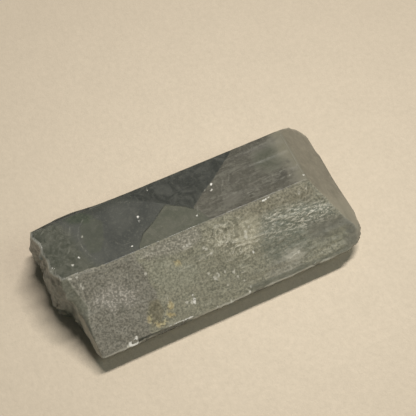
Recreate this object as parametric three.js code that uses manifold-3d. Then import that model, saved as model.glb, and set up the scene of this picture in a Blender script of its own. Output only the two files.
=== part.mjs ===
// A single barite crystal: a long prismatic block lying on its basal cleavage.
// Millimetres. +X along the prism (the crystal's b axis) to the finished end, +Y to the back (a axis),
// +Z up (c axis). The origin is the middle of the footprint box, at the base.
import * as THREE from "three";
import { mergeVertices } from "three/addons/utils/BufferGeometryUtils.js";
import Module from "manifold-3d";

const wasm = await Module();
wasm.setup();

// Overall block.
const HEIGHT = 15.6; // flat resting base to flat top face
const END_X = 30.9; // girdle of the finished end
const FRACTURE_X = -28.1; // upper edge of the broken end, on the ridge line
const RIDGE_Y = -1.55; // where the top face meets the sloping front face
const BACK_EDGE_Y = 10.7; // where the top face meets the steep back face
const GIRDLE_Z = 5.0; // the front and end faces turn under here
const BACK_GIRDLE_Z = 6.0;
const MARGIN = 6; // stock left outside every face before it is cut

// Dips of the crystal faces, degrees from the flat top face.
const FRONT_DIP = 38.9; // (101)
const END_DIP = 52.7; // (011)
const BACK_DIP = 67.5; // (301)
const BACK_UNDER_DIP = 58.2; // (20-1)
const SHOULDER_DIP = 33.3; // (012), a narrow shoulder between the top and the end face

const SHOULDER_DROP = 0.35; // how far the shoulder facet reaches below the top face
const CORNER_DIP = 62; // small facets that blunt the corners of the finished end

// Relief on the faces.
const FRONT_GRAIN = 0.07; // etched grain of the front face
const FRONT_STRIAE = 0.13; // ridges that run along the prism, stronger towards the end
const FRONT_WEAR = 0.55; // the ridge is worn back next to the broken end
const BACK_SWELL = 0.6; // the back edge swells out near the broken end
const BACK_STEP = 0.32; // growth ledges on the back
const UNDER_GRAIN = 0.12;
const TOP_STRIAE = 0.05; // faint ridges along the top face near the finished end
const FRACTURE_HACKLE = 0.4; // roughness of the broken end
const FRACTURE_BULGE = 1.7; // how far the broken end swells out below its upper edge
const CLEAVAGE_TRACE = 39.2; // the upright cleavages {210} meet the prism's length at this angle
const SPLINTER = 4.6; // usual width of the cleavage splinters across the broken end
const SPLINTER_TIER = 4.3; // usual height of one tier of splinters

const rad = THREE.MathUtils.degToRad;
const { clamp, lerp, smoothstep } = THREE.MathUtils;

// ---- repeatable roughness -------------------------------------------------------------------------

function hash(i, j) {
  const s = Math.sin(i * 127.1 + j * 311.7) * 43758.5453;
  return s - Math.floor(s);
}

// Smooth noise between -1 and 1 with one lump per unit.
function lumps(u, v) {
  const i = Math.floor(u);
  const j = Math.floor(v);
  const a = smoothstep(u - i, 0, 1);
  const b = smoothstep(v - j, 0, 1);
  const low = lerp(hash(i, j), hash(i + 1, j), a);
  const high = lerp(hash(i, j + 1), hash(i + 1, j + 1), a);
  return 2 * lerp(low, high, b) - 1;
}

// A staircase with rounded treads: one unit of rise for each unit of t.
function stairs(t) {
  const tread = Math.floor(t);
  return tread + smoothstep(t - tread, 0.7, 1);
}

// ---- solids ---------------------------------------------------------------------------------------

function solid(geometry) {
  const bare = new THREE.BufferGeometry().setAttribute("position", geometry.getAttribute("position"));
  if (geometry.index) bare.setIndex(geometry.index);
  const merged = mergeVertices(bare, 1e-4);
  const mesh = new wasm.Mesh({
    numProp: 3,
    vertProperties: new Float32Array(merged.attributes.position.array),
    triVerts: new Uint32Array(merged.index.array),
  });
  return new wasm.Manifold(mesh);
}

// A slab that cuts away everything outside one face. The face looks towards the azimuth, tilted down
// from level by its dip, and passes through the point. relief(u, v) is how deep the cut goes at u along
// the face (level) and v up its slope.
function faceCutter({ azimuth, dip, point, width = 90, height = 50, cells = [1, 1], relief = () => 0 }) {
  const depth = 2 * MARGIN + 8;
  const slab = new THREE.BoxGeometry(width, height, depth, cells[0], cells[1], 1);
  const p = slab.getAttribute("position");
  for (let i = 0; i < p.count; i++) {
    const inner = p.getZ(i) < 0;
    p.setZ(i, inner ? -relief(p.getX(i), p.getY(i)) : depth);
  }
  const outward = new THREE.Vector3(
    Math.sin(rad(dip)) * Math.cos(rad(azimuth)),
    Math.sin(rad(dip)) * Math.sin(rad(azimuth)),
    Math.cos(rad(dip)),
  );
  const along = new THREE.Vector3(-Math.sin(rad(azimuth)), Math.cos(rad(azimuth)), 0);
  const upslope = new THREE.Vector3().crossVectors(outward, along);
  const place = new THREE.Matrix4().makeBasis(along, upslope, outward);
  place.setPosition(...point);
  slab.applyMatrix4(place);
  return solid(slab);
}

// A scoop: a stretched ball that leaves a shell-shaped chip where it bites an edge.
function scoop([x, y, z], [a, b, c], [turnX, turnY, turnZ] = [0, 0, 0]) {
  const ball = new THREE.IcosahedronGeometry(1, 2);
  ball.scale(a, b, c);
  ball.rotateX(rad(turnX));
  ball.rotateY(rad(turnY));
  ball.rotateZ(rad(turnZ));
  ball.translate(x, y, z);
  return solid(ball);
}

// ---- relief of each rough face --------------------------------------------------------------------

// Front face: u runs along +X, v up the slope from the middle of the ridge.
function frontRelief(u, v) {
  const grain = FRONT_GRAIN * (lumps(u * 0.9, v * 0.9) + 0.6 * lumps(u * 0.45 + 7, v * 0.6));
  const toEnd = smoothstep(u, -12, 22);
  const ridges = FRONT_STRIAE * toEnd * lumps(u * 0.16 + 3, v * 0.95 + 11);
  const fade = smoothstep(-v, 0.2, 1.6);
  const wear = FRONT_WEAR * smoothstep(-u, 18, 29) * (1 - smoothstep(-v, 4, 9));
  const bow = smoothstep(-v, 6, 16) * (0.25 * smoothstep(u, 19, 24) - 0.2 * Math.exp(-(((u + 11) / 9) ** 2)));
  return fade * (grain + ridges) + wear + bow;
}

// Back face: level ledges stepping out as they go down.
function backRelief(u, v) {
  const wander = 0.5 * lumps(u * 0.14, v * 0.2);
  const saw = stairs(v * 0.42 + wander) - (v * 0.42 + wander);
  const swell = BACK_SWELL * Math.exp(-(((u - 22.5) / 5) ** 2)) * (1 - smoothstep(-v, 3, 9));
  return BACK_STEP * clamp(saw + 0.4, 0, 1) * smoothstep(-v, 0.4, 3) - swell;
}

// Top face: u runs along +X, v towards the back from the ridge.
function topRelief(u, v) {
  const toEnd = smoothstep(u, 4, 14);
  const inside = smoothstep(v, 0.5, 2) * (1 - smoothstep(v, 9.5, 11));
  return TOP_STRIAE * toEnd * inside * (1 + lumps(u * 0.12, v * 1.0 + 5));
}

function underRelief(u, v) {
  return UNDER_GRAIN * (1 + lumps(u * 0.22 + 5, v * 0.5) + 0.3 * lumps(u * 0.5, v * 0.8 + 9));
}

// Broken end: how far the surface swells towards -X beyond its upper edge, at y and z.
function fractureSwell(y, z) {
  const low = smoothstep(HEIGHT - z, 0, 6.5);
  const behind = smoothstep(y, RIDGE_Y - 2.3, RIDGE_Y + 0.4);
  const corner = 1 - 0.75 * smoothstep(y, BACK_EDGE_Y - 0.5, BACK_EDGE_Y + 3);
  const swell = FRACTURE_BULGE * low * lerp(-0.15, corner, behind);
  const knob = 0.6 * behind * Math.exp(-(((y - 1.8) / 3.2) ** 2) - ((z - 4.2) / 3) ** 2);
  const hollow = 0.7 * Math.exp(-(((y - 8) / 2.2) ** 2) - ((z - 10.5) / 2.2) ** 2);
  return swell + knob - hollow;
}

// Rough relief of the broken end: shell-like steps, grain and splinters, calmer at the upper edge.
function fractureHackle(y, z) {
  const climb = 0.34 * z + 0.22 * y;
  const shells = stairs(climb + 0.8 * lumps(y * 0.25, z * 0.25)) - climb;
  const rough = lumps(y * 0.4 + 3, z * 0.4) + 0.25 * lumps(y * 1.3, z * 1.3 + 4);
  const hackle = FRACTURE_HACKLE * (0.55 * shells + 0.7 * rough);
  return (hackle + splinters(y, z)) * lerp(0.1, 1, smoothstep(HEIGHT - z, 0.5, 5));
}

// Upright splinters bounded by the two {210} cleavages, broken off at different levels.
function splinters(y, z) {
  const tier = Math.floor(z / SPLINTER_TIER + 0.9 * lumps(y * 0.17 + 2, 0.5));
  const t = y / SPLINTER + 0.37 * tier + 0.7 * lumps(y * 0.21, 3 * tier);
  const zigzag = Math.abs(t - Math.round(t)) - 0.25;
  const jut = SPLINTER / Math.tan(rad(CLEAVAGE_TRACE));
  return jut * zigzag * lerp(0.1, 0.55, hash(Math.round(t), tier));
}

// ---- the crystal ----------------------------------------------------------------------------------

// Level distance from an edge at the top face out to a lower height on a face of this dip.
function reach(dip, drop) {
  return drop / Math.tan(rad(dip));
}

const frontGirdleY = RIDGE_Y - reach(FRONT_DIP, HEIGHT - GIRDLE_Z);
const backGirdleY = BACK_EDGE_Y + reach(BACK_DIP, HEIGHT - BACK_GIRDLE_Z);
const endTopX = END_X - reach(END_DIP, HEIGHT - GIRDLE_Z);

function stock() {
  const fromX = FRACTURE_X - MARGIN;
  const toX = END_X + MARGIN;
  const fromY = frontGirdleY - MARGIN;
  const toY = backGirdleY + MARGIN;
  const block = new THREE.BoxGeometry(toX - fromX, toY - fromY, HEIGHT);
  block.translate((fromX + toX) / 2, (fromY + toY) / 2, HEIGHT / 2);
  return solid(block);
}

function crystalFaces() {
  return [
    faceCutter({
      azimuth: -90, dip: 0, point: [0, RIDGE_Y, HEIGHT],
      width: 72, height: 44, cells: [36, 44], relief: topRelief,
    }),
    // front, above and below its girdle
    faceCutter({
      azimuth: -90, dip: FRONT_DIP, point: [0, RIDGE_Y, HEIGHT],
      width: 72, height: 46, cells: [78, 48], relief: frontRelief,
    }),
    faceCutter({
      azimuth: -90, dip: 180 - FRONT_DIP, point: [0, frontGirdleY, GIRDLE_Z],
      width: 72, height: 20, cells: [36, 10], relief: underRelief,
    }),
    // back, above and below
    faceCutter({
      azimuth: 90, dip: BACK_DIP, point: [0, BACK_EDGE_Y, HEIGHT],
      width: 72, height: 40, cells: [24, 36], relief: backRelief,
    }),
    faceCutter({
      azimuth: 90, dip: 180 - BACK_UNDER_DIP, point: [0, backGirdleY, BACK_GIRDLE_Z],
      width: 72, height: 20, cells: [30, 10], relief: underRelief,
    }),
    // finished end, above and below, with its shoulder
    faceCutter({ azimuth: 0, dip: END_DIP, point: [END_X, 0, GIRDLE_Z] }),
    faceCutter({ azimuth: 0, dip: 180 - END_DIP, point: [END_X, 0, GIRDLE_Z] }),
    faceCutter({
      azimuth: 0, dip: SHOULDER_DIP,
      point: [endTopX + reach(END_DIP, SHOULDER_DROP), 0, HEIGHT - SHOULDER_DROP],
    }),
    // blunted corners of the finished end
    faceCutter({ azimuth: -18, dip: CORNER_DIP, point: [30.8, -10.2, GIRDLE_Z] }),
    faceCutter({ azimuth: -40, dip: CORNER_DIP, point: [30.1, -12.3, GIRDLE_Z] }),
    faceCutter({ azimuth: -68, dip: CORNER_DIP, point: [28.6, -14.2, GIRDLE_Z] }),
    faceCutter({ azimuth: 28, dip: CORNER_DIP, point: [30.5, 12.3, GIRDLE_Z] }),
    faceCutter({ azimuth: 58, dip: CORNER_DIP + 6, point: [29.0, 14.2, GIRDLE_Z] }),
  ];
}

function brokenEnd() {
  const lean = 5.6; // degrees the upper edge turns from square across the prism
  const width = 44;
  const height = 24;
  return faceCutter({
    azimuth: 180 + lean, dip: 90, point: [FRACTURE_X, RIDGE_Y, HEIGHT / 2],
    width, height, cells: [64, 36],
    relief: (u, v) => -fractureSwell(RIDGE_Y - u, HEIGHT / 2 + v) + fractureHackle(-u, v),
  });
}

// Chips along the edges: centre, half-sizes, turns.
function chips() {
  return [
    // long thin flake off the front girdle, and its neighbours
    scoop([-13.2, frontGirdleY - 0.15, GIRDLE_Z + 0.05], [6.2, 0.75, 0.75], [0, 0, 0.8]),
    scoop([-19.6, frontGirdleY + 0.1, GIRDLE_Z + 0.55], [1.3, 0.8, 0.6]),
    scoop([6.0, frontGirdleY - 0.2, GIRDLE_Z + 0.1], [2.2, 0.8, 0.9], [0, 0, 3]),
    scoop([19.2, frontGirdleY - 0.1, GIRDLE_Z], [1.1, 0.6, 0.6]),
    scoop([25.4, frontGirdleY - 0.1, GIRDLE_Z - 0.2], [3.4, 0.7, 0.6]),
    // nick in the back edge next to the finished end
    scoop([22.7, BACK_EDGE_Y + 0.55, HEIGHT + 0.35], [1.1, 0.9, 0.9]),
    scoop([-12.5, BACK_EDGE_Y + 0.5, HEIGHT + 0.4], [3.0, 0.65, 0.65]),
    // upper edge of the broken end
    scoop([FRACTURE_X - 1.3, 6.1, HEIGHT + 0.1], [0.9, 1.5, 0.7], [0, 20, 0]),
    scoop([FRACTURE_X - 0.8, 1.0, HEIGHT + 0.5], [1.0, 2.0, 0.8], [0, 15, 0]),
    // smooth sliver struck off where the broken end meets the front face
    scoop([FRACTURE_X - 0.1, -9.3, 10.0], [2.2, 8.0, 1.2], [FRONT_DIP, 0, -4]),
  ];
}

function crystal() {
  let body = stock();
  for (const cutter of [...crystalFaces(), brokenEnd(), ...chips()]) body = body.subtract(cutter);
  return body.decompose().sort((a, b) => b.volume() - a.volume())[0];
}

function centredGeometry(body) {
  const mesh = body.getMesh();
  const points = new Float32Array(mesh.numVert * 3);
  for (let i = 0; i < mesh.numVert; i++)
    points.set(mesh.vertProperties.subarray(i * mesh.numProp, i * mesh.numProp + 3), i * 3);
  const geometry = new THREE.BufferGeometry()
    .setAttribute("position", new THREE.BufferAttribute(points, 3))
    .setIndex(new THREE.BufferAttribute(mesh.triVerts, 1));
  geometry.computeBoundingBox();
  const middle = geometry.boundingBox.getCenter(new THREE.Vector3());
  geometry.translate(-middle.x, -middle.y, -geometry.boundingBox.min.z);
  geometry.computeVertexNormals();
  return geometry;
}

const material = new THREE.MeshStandardMaterial({ color: 0x7c7d70, roughness: 0.35, metalness: 0 });
const body = new THREE.Mesh(centredGeometry(crystal()), material);
body.name = "barite_crystal";

const object = new THREE.Group();
object.name = "barite";
object.add(body);

export default object;
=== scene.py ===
"""Looks of a barite crystal: a smoky, see-through prism with a frosted front face and a broken end."""

import math

import bpy
import numpy as np
from mathutils import Matrix, Vector


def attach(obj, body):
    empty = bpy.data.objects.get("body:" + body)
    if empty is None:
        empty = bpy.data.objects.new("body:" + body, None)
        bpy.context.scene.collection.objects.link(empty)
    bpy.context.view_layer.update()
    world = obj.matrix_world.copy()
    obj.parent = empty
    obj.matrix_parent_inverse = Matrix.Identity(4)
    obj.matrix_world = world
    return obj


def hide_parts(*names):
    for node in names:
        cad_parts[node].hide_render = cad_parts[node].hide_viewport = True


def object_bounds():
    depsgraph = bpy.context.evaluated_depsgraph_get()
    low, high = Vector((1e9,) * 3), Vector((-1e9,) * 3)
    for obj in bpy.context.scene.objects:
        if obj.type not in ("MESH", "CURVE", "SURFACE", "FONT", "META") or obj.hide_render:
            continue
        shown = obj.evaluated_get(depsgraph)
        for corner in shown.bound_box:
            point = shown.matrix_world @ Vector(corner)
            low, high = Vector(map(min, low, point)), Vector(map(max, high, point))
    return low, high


MM = 0.001
VOXEL = 0.27  # mm, spacing of the fine surface
FAR = 6.0  # mm, where the distances kept on the surface are cut off
BLUNT, SHARP = 0.012, 0.05  # mm, how far a point on a blunt and on a sharp edge stands out

# The crystal in its own millimetres: x along the prism, y to the back, z up. END_X is the girdle of the
# finished end. The shared frame's origin lies elsewhere along x, at the middle of the box.
HEIGHT = 15.6
END_X = 30.9
RIDGE_Y = -1.55
BACK_EDGE_Y = 10.7
GIRDLE_Z = 5.0
BROKEN_RIM_X = -29.5
FRONT_DIP, END_DIP = 38.9, 52.7  # degrees
FRAME_Y_SHIFT = 0.04
TOP_END_X = END_X - (HEIGHT - GIRDLE_Z) / math.tan(math.radians(END_DIP))
FRONT_GIRDLE_Y = RIDGE_Y - (HEIGHT - GIRDLE_Z) / math.tan(math.radians(FRONT_DIP))

# Regions of the top face, as outlines of (x, y). Their straight sides follow the cleavage, 39.2 degrees
# either side of the x axis.
TOP_REGIONS = {
    "dark_corner": [
        (-11.5, 10.4), (-8.6, 8.3), (-5.0, 6.0), (-1.5, 3.7), (0.2, 2.3), (3.4, 4.7), (6.2, 6.3),
        (12, 10.4), (12, 12), (-11.5, 12),
    ],
    "wedge": [
        (-12.4, -1.9), (-12.2, -0.6), (-10.4, 1.6), (-7.4, 3.1), (-5.7, 4.4), (-4.3, 5.3), (-1.5, 3.7),
        (0.2, 2.3), (1.4, 1.2), (2.6, -1.9),
    ],
    "cloud": [
        (2.6, -1.9), (1.2, 1.2), (0.25, 2.4), (3.4, 4.7), (6.2, 6.3), (12, 10.4), (12, 12), (26, 12),
        (26, -1.9),
    ],
    "lens": [
        (-19.5, 8.9), (-17.6, 8.4), (-16.4, 7.0), (-17.5, 3.8), (-19.1, 1.4), (-21.1, 1.9), (-21.3, 5.2),
        (-20.9, 7.7),
    ],
    "green": [
        (14.6, 6.3), (16.6, 8.4), (19.8, 8.8), (22.2, 7.1), (21.5, 4.4), (19.4, 3.2), (16.4, 3.7),
        (14.8, 4.9),
    ],
    "corner": [(-31, 12), (-24.5, 10.6), (-22.6, 6.0), (-22.0, 2.0), (-20.5, -1.9), (-31, -1.9)],
    # Painted shade along the top's back edge, where light bends in the crystal.
    "back_edge_shade": [
        (-30, 12), (-9.1, 12), (-3.1, 10.4), (-3.7, 8.0), (-6.1, 8.2), (-10.0, 8.8), (-13.5, 9.5),
        (-16.9, 9.1), (-20.5, 8.6), (-23.5, 10.2), (-28.5, 11.0),
    ],
    "pale_corner": [(6.5, 2.8), (10.4, 1.9), (9.0, -0.5), (5.8, 0.3)],
    # Painted dark green shade along the top's back edge.
    "green_back_edge_shade": [(-23.0, 11.7), (-19.3, 10.4), (-17.8, 9.0), (-19.1, 7.8), (-22.2, 9.2), (-23.3, 10.4)],
}

# Regions of the front face, in the same (x, y).
FRONT_REGIONS = {
    "frost": [
        (-27.0, 0.6), (-26.6, -1.1), (-26.2, -2.6), (-25.6, -4.6), (-25.1, -6.1), (-25.8, -7.7),
        (-26.2, -10.2), (-26.5, -13.6), (-26.5, -15.8), (31, -15.8), (31.0, -13.0), (22.8, 0.4),
    ],
    "grey": [
        (-28, 1), (-13.3, 1), (-13.3, -2.9), (-12.6, -4.8), (-12.9, -6.8), (-12.0, -8.3), (-12.7, -9.4),
        (-14.3, -9.7), (-15.5, -10.9), (-16.1, -13.3), (-15.5, -16), (-28, -16),
    ],
    "speckled": [
        (-22.9, -4.5), (-20.4, -4.7), (-17.4, -5.6), (-15.7, -6.7), (-16.0, -8.1), (-18.1, -8.2),
        (-19.9, -8.1), (-21.5, -8.5), (-22.5, -7.3), (-23.9, -6.0),
    ],
    "ridge_frost": [
        (-13.3, -1.4), (-7.2, -1.4), (-0.2, -1.4), (-0.4, -3.4), (-4.2, -4.1), (-8.3, -3.7), (-11.9, -3.1),
    ],
    "smooth": [
        (-11.6, -4.0), (-8.5, -3.9), (-5.2, -5.7), (-2.9, -7.5), (-4.4, -9.3), (-7.6, -9.5), (-11.2, -8.4),
        (-12.5, -6.3),
    ],
    "pale_spot": [(-6.7, -7.7), (-5.5, -8.1), (-5.7, -9.4), (-6.8, -9.7), (-7.5, -8.9)],
    "swirl": [
        (-0.3, -4.2), (0.2, -2.3), (2.9, -1.9), (6.2, -2.3), (9.3, -3.0), (11.5, -4.7), (10.8, -6.2),
        (9.2, -7.2), (8.2, -8.6), (5.1, -8.8), (2.3, -6.6), (0.4, -6.2),
    ],
    "swirl_core": [(7.1, -3.3), (10.8, -3.5), (10.7, -5.5), (8.9, -7.5), (6.3, -7.7), (5.1, -5.6)],
    "tan": [
        (5.4, -1.2), (13.1, -1.2), (21.1, -1.2), (22.9, -3.2), (22.2, -4.9), (19.7, -4.8), (16.1, -3.9),
        (12.2, -4.1), (7.4, -3.4),
    ],
    "strokes": [
        (11.5, -4.7), (12.8, -3.8), (15.8, -3.8), (19.9, -4.2), (23.3, -5.2), (25.4, -6.8), (26.5, -8.6),
        (24.2, -9.4), (20.5, -8.8), (17.2, -8.3), (14.1, -7.8), (11.2, -7.4), (10.4, -6.2),
    ],
    "stroke_core": [
        (17.5, -4.6), (20.6, -4.9), (24.4, -5.9), (25.9, -8.0), (23.2, -8.6), (19.9, -8.0), (17.9, -6.4),
    ],
    "haze": [(13.3, -11.4), (14.9, -10.6), (16.6, -10.7), (17.4, -11.9), (15.7, -12.7), (14.0, -12.7)],
    "green_base": [
        (11.7, -4.8), (16.1, -4.9), (18.6, -7.1), (20.3, -9.3), (18.7, -11.9), (14.5, -12.5),
        (10.0, -10.9), (9.7, -7.8),
    ],
    "violet": [
        (20.0, -7.9), (24.7, -8.3), (27.4, -8.6), (31.0, -10.0), (31, -16), (27.9, -16), (25.3, -12.1),
        (22.3, -11.4), (19.5, -10.1),
    ],
    "yellow": [(22.7, -10.8), (24.7, -10.3), (27.0, -10.6), (27.1, -12.0), (25.5, -12.8), (23.1, -12.1)],
    "slash": [(17.7, -11.9), (20.0, -11.1), (22.5, -11.3), (22.2, -12.2), (19.5, -12.1)],
    "pink": [
        (9.6, -11.8), (13.5, -11.4), (17.0, -10.9), (17.6, -12.5), (15.7, -13.9), (11.1, -14.4),
        (8.3, -13.8),
    ],
    "low_band": [
        (5.1, -13.3), (10.4, -13.5), (16.9, -13.6), (20.5, -13.7), (25.8, -13.3), (27.5, -14.3),
        (19.4, -14.45), (11.0, -14.45), (5.0, -14.45),
    ],
    # A dark wedge of painted shade in the chip under the front's lower edge.
    "chip_shade": [(-18.9, -13.9), (-12.4, -14.15), (-7.6, -14.2), (-12.4, -14.6), (-18.6, -14.6)],
    "brown": [
        (-14.0, -9.0), (-12.5, -9.4), (-12.2, -11.3), (-13.2, -12.6), (-15.2, -13.0), (-15.4, -11.0),
    ],
}

# Ochre stains on the front face, as outlines of (x, y).
STAINS = [
    [(-6.8, -4.9), (-6.0, -5.2), (-5.9, -5.8), (-6.9, -5.9), (-7.3, -5.3)],
    [(-10.7, -10.0), (-10.2, -10.8), (-10.2, -11.6), (-11.2, -11.9), (-11.4, -11.1)],
    [(-11.8, -11.8), (-11.0, -12.1), (-10.4, -12.9), (-11.4, -13.0), (-12.1, -12.3)],
    [(-15.5, -11.2), (-14.9, -11.4), (-15.2, -12.3), (-15.9, -12.1)],
    [(-14.7, -12.5), (-13.8, -12.9), (-12.1, -13.0), (-13.2, -13.7), (-14.6, -13.4)],
]

# Thin light lines through their (x, y) points: streaks under the top face, scratches on the front face.
STREAKS = [
    [(8.2, 0.6), (11.1, 0.9), (14.0, 0.7)], [(14.7, 2.0), (16.1, 2.3), (19.3, 2.5), (22.3, 2.1)],
    [(4.0, 2.8), (6.0, 2.6), (7.7, 2.5)], [(7.0, 2.1), (10.5, 2.1)], [(10.2, 0.6), (12.1, 0.2)],
    [(14.1, 0.9), (16.4, 0.8)], [(5.0, 1.6), (9.4, 2.0)], [(13.3, -1.3), (15.8, -1.3)],
    [(16.4, 0.8), (19.2, 1.1), (20.5, 0.8)], [(8.5, 4.0), (9.6, 6.2)], [(6.6, 3.4), (8.0, 5.4)],
    [(1.2, 2.6), (0.4, 0.4)],
    [(-25.7, 5.7), (-25.1, 6.4), (-24.4, 5.8)], [(-24.9, 3.7), (-24.1, 4.4), (-23.6, 5.6)],
    [(-27.0, 3.3), (-25.6, 3.2), (-24.8, 2.1)], [(-23.2, 7.2), (-22.4, 8.6)],
    [(-28.2, 9.3), (-26.8, 10.2)], [(-15.8, 2.0), (-14.6, 0.9), (-13.4, 1.0)], [(-12.2, 9.4), (-10.4, 8.9)],
    [(-19.6, 9.0), (-20.9, 7.9), (-21.9, 6.0), (-21.9, 3.9), (-21.2, 1.8), (-20.3, 0.3)],
]
SCRATCHES = [
    [
        (1.6, -3.7), (2.2, -2.9), (3.3, -2.7), (4.5, -3.2), (4.9, -4.2), (4.3, -5.1), (3.2, -5.6),
        (1.9, -5.3),
    ],
    [(2.3, -4.0), (3.1, -3.6), (3.9, -4.2), (3.4, -4.8)],
    [(4.6, -5.9), (7.2, -6.3), (11.9, -6.7), (14.4, -7.4)],
    [(5.1, -6.7), (7.2, -6.8), (9.5, -7.2)], [(12.4, -4.5), (13.9, -4.5), (15.9, -4.0)],
    [(12.2, -5.1), (14.1, -5.1), (17.1, -5.6)], [(16.6, -5.8), (18.6, -5.8), (20.9, -5.4)],
    [(11.7, -7.1), (12.8, -6.7)], [(3.9, -7.5), (4.9, -6.7), (6.6, -6.6)],
    [(5.3, -8.0), (6.8, -7.6), (7.6, -7.6)], [(-4.8, -4.0), (-2.7, -3.9)],
    [(-0.8, -6.2), (0.3, -6.0), (1.1, -6.6)], [(14.4, -11.8), (16.8, -11.2)],
    [(22.6, -5.9), (23.9, -6.0), (25.4, -6.7)], [(20.1, -6.3), (22.2, -6.5), (23.7, -6.6)],
    [(6.9, -3.4), (7.6, -4.6), (7.3, -5.9)], [(-10.7, -9.6), (-11.2, -11.3)],
    [(-2.6, -6.4), (-1.7, -6.2), (-1.1, -6.7)], [(4.4, -10.0), (5.6, -10.2), (6.4, -10.9)],
    [(4.3, -10.8), (5.5, -10.9), (6.2, -11.6)], [(2.0, -8.2), (3.3, -8.3), (4.1, -8.8)],
    [(-12.6, -3.7), (-12.4, -4.5)], [(-12.9, -2.6), (-11.3, -2.5), (-10.5, -3.0)],
]
DARK_CRACKS = [[(-11.3, -9.6), (-12.0, -11.9)], [(10.5, -9.5), (14.8, -8.6)], [(8.4, -6.9), (9.6, -9.0)]]

# White bruises where something has knocked the crystal, some of them painted highlights where the surface
# catches the lamp, and fainter glints, which are painted highlights, as (x, y, radius) from above.
BRUISES_AND_HIGHLIGHTS = [
    (-20.35, -14.2, 0.44), (-19.7, -14.2, 0.40), (-19.1, -13.8, 0.34), (-18.8, -13.5, 0.2),
    (-6.05, -11.0, 0.16), (-6.1, -11.6, 0.24), (-6.15, -12.1, 0.34), (5.2, -13.5, 0.22), (4.7, -14.1, 0.2),
    (18.9, -14.3, 0.24), (7.9, -8.5, 0.2), (-10.0, 5.1, 0.24), (-10.1, 4.3, 0.18), (-13.3, 0.1, 0.18),
    (-23.2, 2.1, 0.2), (5.5, 5.5, 0.26), (0.3, 0.7, 0.14), (22.6, -0.1, 0.18), (-28.9, 7.0, 0.24),
]
GLINTS = [
    (16.5, -11.5, 0.24), (-0.5, -5.2, 0.22), (-4.4, -3.4, 0.24), (-3.7, -3.5, 0.26), (-3.0, -3.3, 0.2),
    (-0.9, -9.7, 0.26), (3.1, -10.1, 0.2), (21.9, -2.6, 0.2), (20.3, -2.8, 0.26), (7.9, -5.1, 0.26),
    (8.7, -4.6, 0.2), (-13.0, -5.0, 0.24), (0.1, -6.2, 0.26), (3.0, -10.2, 0.26), (-0.7, -10.0, 0.28),
    (-0.9, -4.9, 0.24), (7.6, -5.8, 0.32), (0.0, -9.8, 0.22), (-0.1, -9.3, 0.18), (1.4, -9.7, 0.2),
    (-1.7, -8.9, 0.18), (3.4, -11.2, 0.2), (4.5, -12.1, 0.18), (1.1, -11.7, 0.18), (0.6, -14.4, 0.2),
    (-2.4, -14.4, 0.2), (-24.8, 1.2, 0.18), (-21.1, 5.8, 0.16),
    (-6.2, 9.6, 0.14), (5.0, 4.4, 0.2), (3.9, 4.9, 0.16), (20.4, 1.0, 0.16),
    (-26.3, -1.1, 0.3), (-25.0, -1.3, 0.24), (-24.9, -2.7, 0.22), (-24.7, -3.1, 0.2), (-29.0, 6.0, 0.22),
    (-21.0, -14.4, 0.3), (-6.7, -12.0, 0.3), (-7.6, -11.7, 0.26),
]
# Bright lines along edges, as (start, end, radius): partly white bruises, partly painted highlights where
# an edge catches the lamp.
BRUISED_AND_HIGHLIT_EDGES = [((-12.4, -14.1), (-7.4, -14.15), 0.10), ((13.0, -1.75), (14.5, -1.6), 0.09)]

# Corners that wear has rounded, as (x, y, z, radius).
WORN = [
    (30.6, 11.5, 6.5, 5.0), (28.8, 14.0, 7.0, 5.0), (30.7, -10.8, 5.5, 3.2), (29.2, -13.4, 5.2, 3.0),
    (-26.9, -14.4, 5.2, 1.8), (-28.0, -4.6, 9.5, 3.6), (-27.8, -8.5, 6.5, 3.6), (-27.3, -12.0, 4.5, 3.0),
    (-30.4, 13.6, 7.2, 3.4),
]

# A smooth sliver split off the broken end beside the front face: its outward direction and a point on it.
SLIVER = ((-0.93, -0.26, 0.26), (-27.0, -7.4, 9.4))

# Middles of the round swirls on the front face, as (x, y).
EYES = [(2.9, -4.2), (7.8, -5.4), (5.8, -7.5)]

# Heights of the fine relief, in millimetres: on the front face, the broken end, the back and finished
# end, and where a knock has crushed the surface.
GRAIN, PITS, STROKES, SWIRLS, SCRATCH = 0.030, 0.020, 0.13, 0.14, 0.07
HACKLE, SPLINTERS = 0.12, 0.05
LEDGES, END_WAVES = 0.05, 0.012
CRUSHED = 0.06

# How this barite bends light and absorbs it.
BARITE_IOR = 1.64
SMOKE_COLOUR = (0.52, 0.55, 0.48)
SMOKE_DENSITY = 85.0  # per metre

# A painted pool of light: the paper's colour is lightest beside the crystal, and darkens away from there.
PAINTED_LIGHT_MIDDLE = (13, -7, 0)
PAINTED_LIGHT_REACH = 80  # mm

# A warm lamp in a faintly lit room.
LAMP_COLOUR = (1.0, 0.945, 0.88)
ROOM_COLOUR = (0.92, 1.0, 0.92)
ROOM_STRENGTH = 0.055

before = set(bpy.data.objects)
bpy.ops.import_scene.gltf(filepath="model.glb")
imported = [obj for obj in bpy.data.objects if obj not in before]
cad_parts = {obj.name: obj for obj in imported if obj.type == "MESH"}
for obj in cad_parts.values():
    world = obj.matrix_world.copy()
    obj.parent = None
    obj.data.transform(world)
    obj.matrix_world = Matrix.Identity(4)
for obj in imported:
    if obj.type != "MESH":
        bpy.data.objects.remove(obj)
cad_low, cad_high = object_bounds()
SHIFT = np.array([cad_high.x / MM - END_X, FRAME_Y_SHIFT, 0.0])


# ---- repeatable noise ------------------------------------------------------------------------------


def lattice(i, seed):
    """A number between -1 and 1 for each whole-number point."""
    h = (i[:, 0] * 374761393 + i[:, 1] * 668265263 + i[:, 2] * 1442695041 + seed * 974634777) & 0xFFFFFFFF
    h = ((h ^ (h >> 13)) * 1274126177) & 0xFFFFFFFF
    h = h ^ (h >> 16)
    return (h & 0xFFFFFF) / float(0x7FFFFF) - 1.0


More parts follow.
